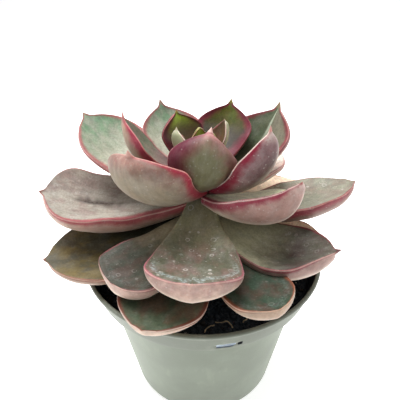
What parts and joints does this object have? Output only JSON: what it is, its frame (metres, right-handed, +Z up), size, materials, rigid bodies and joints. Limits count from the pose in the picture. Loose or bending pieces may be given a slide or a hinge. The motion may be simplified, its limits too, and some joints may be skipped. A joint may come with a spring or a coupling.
{
  "type": "potted succulent",
  "caption": "Rosette succulent with thick waxy leaves set in a spiral on a short woody stem, rooted in potting soil in a thin round nursery pot.",
  "frame": {"origin": "middle of the pot's foot, on the ground", "axes": "+Z up along the pot's axis; the picture looks along +Y from above, so -Y is the side it shows, and +X is to its right"},
  "size_m": [0.1071, 0.0947, 0.1074],
  "materials": {
    "pot": "satin",
    "soil": "matte",
    "stem": "matte",
    "outer_leaf": "satin",
    "middle_leaf": "satin",
    "inner_leaf": "satin",
    "heart_leaf": "satin"
  },
  "bodies": {
    "root": {"pot": "pot", "soil": "soil", "stem": "stem", "outer_leaf_01": "outer_leaf", "outer_leaf_02": "outer_leaf", "outer_leaf_03": "outer_leaf", "outer_leaf_04": "outer_leaf", "outer_leaf_05": "outer_leaf", "outer_leaf_06": "outer_leaf", "outer_leaf_07": "outer_leaf", "outer_leaf_08": "outer_leaf", "outer_leaf_09": "outer_leaf", "outer_leaf_10": "outer_leaf", "middle_leaf_01": "middle_leaf", "middle_leaf_02": "middle_leaf", "middle_leaf_03": "middle_leaf", "middle_leaf_04": "middle_leaf", "middle_leaf_05": "middle_leaf", "middle_leaf_06": "middle_leaf", "middle_leaf_07": "middle_leaf", "middle_leaf_08": "middle_leaf", "inner_leaf_01": "inner_leaf", "inner_leaf_02": "inner_leaf", "inner_leaf_03": "inner_leaf", "inner_leaf_04": "inner_leaf", "inner_leaf_05": "inner_leaf", "inner_leaf_06": "inner_leaf", "inner_leaf_07": "inner_leaf", "inner_leaf_08": "inner_leaf", "inner_leaf_09": "inner_leaf", "heart_leaf_01": "heart_leaf", "heart_leaf_02": "heart_leaf", "heart_leaf_03": "heart_leaf", "heart_leaf_04": "heart_leaf"}
  },
  "joints": []
}
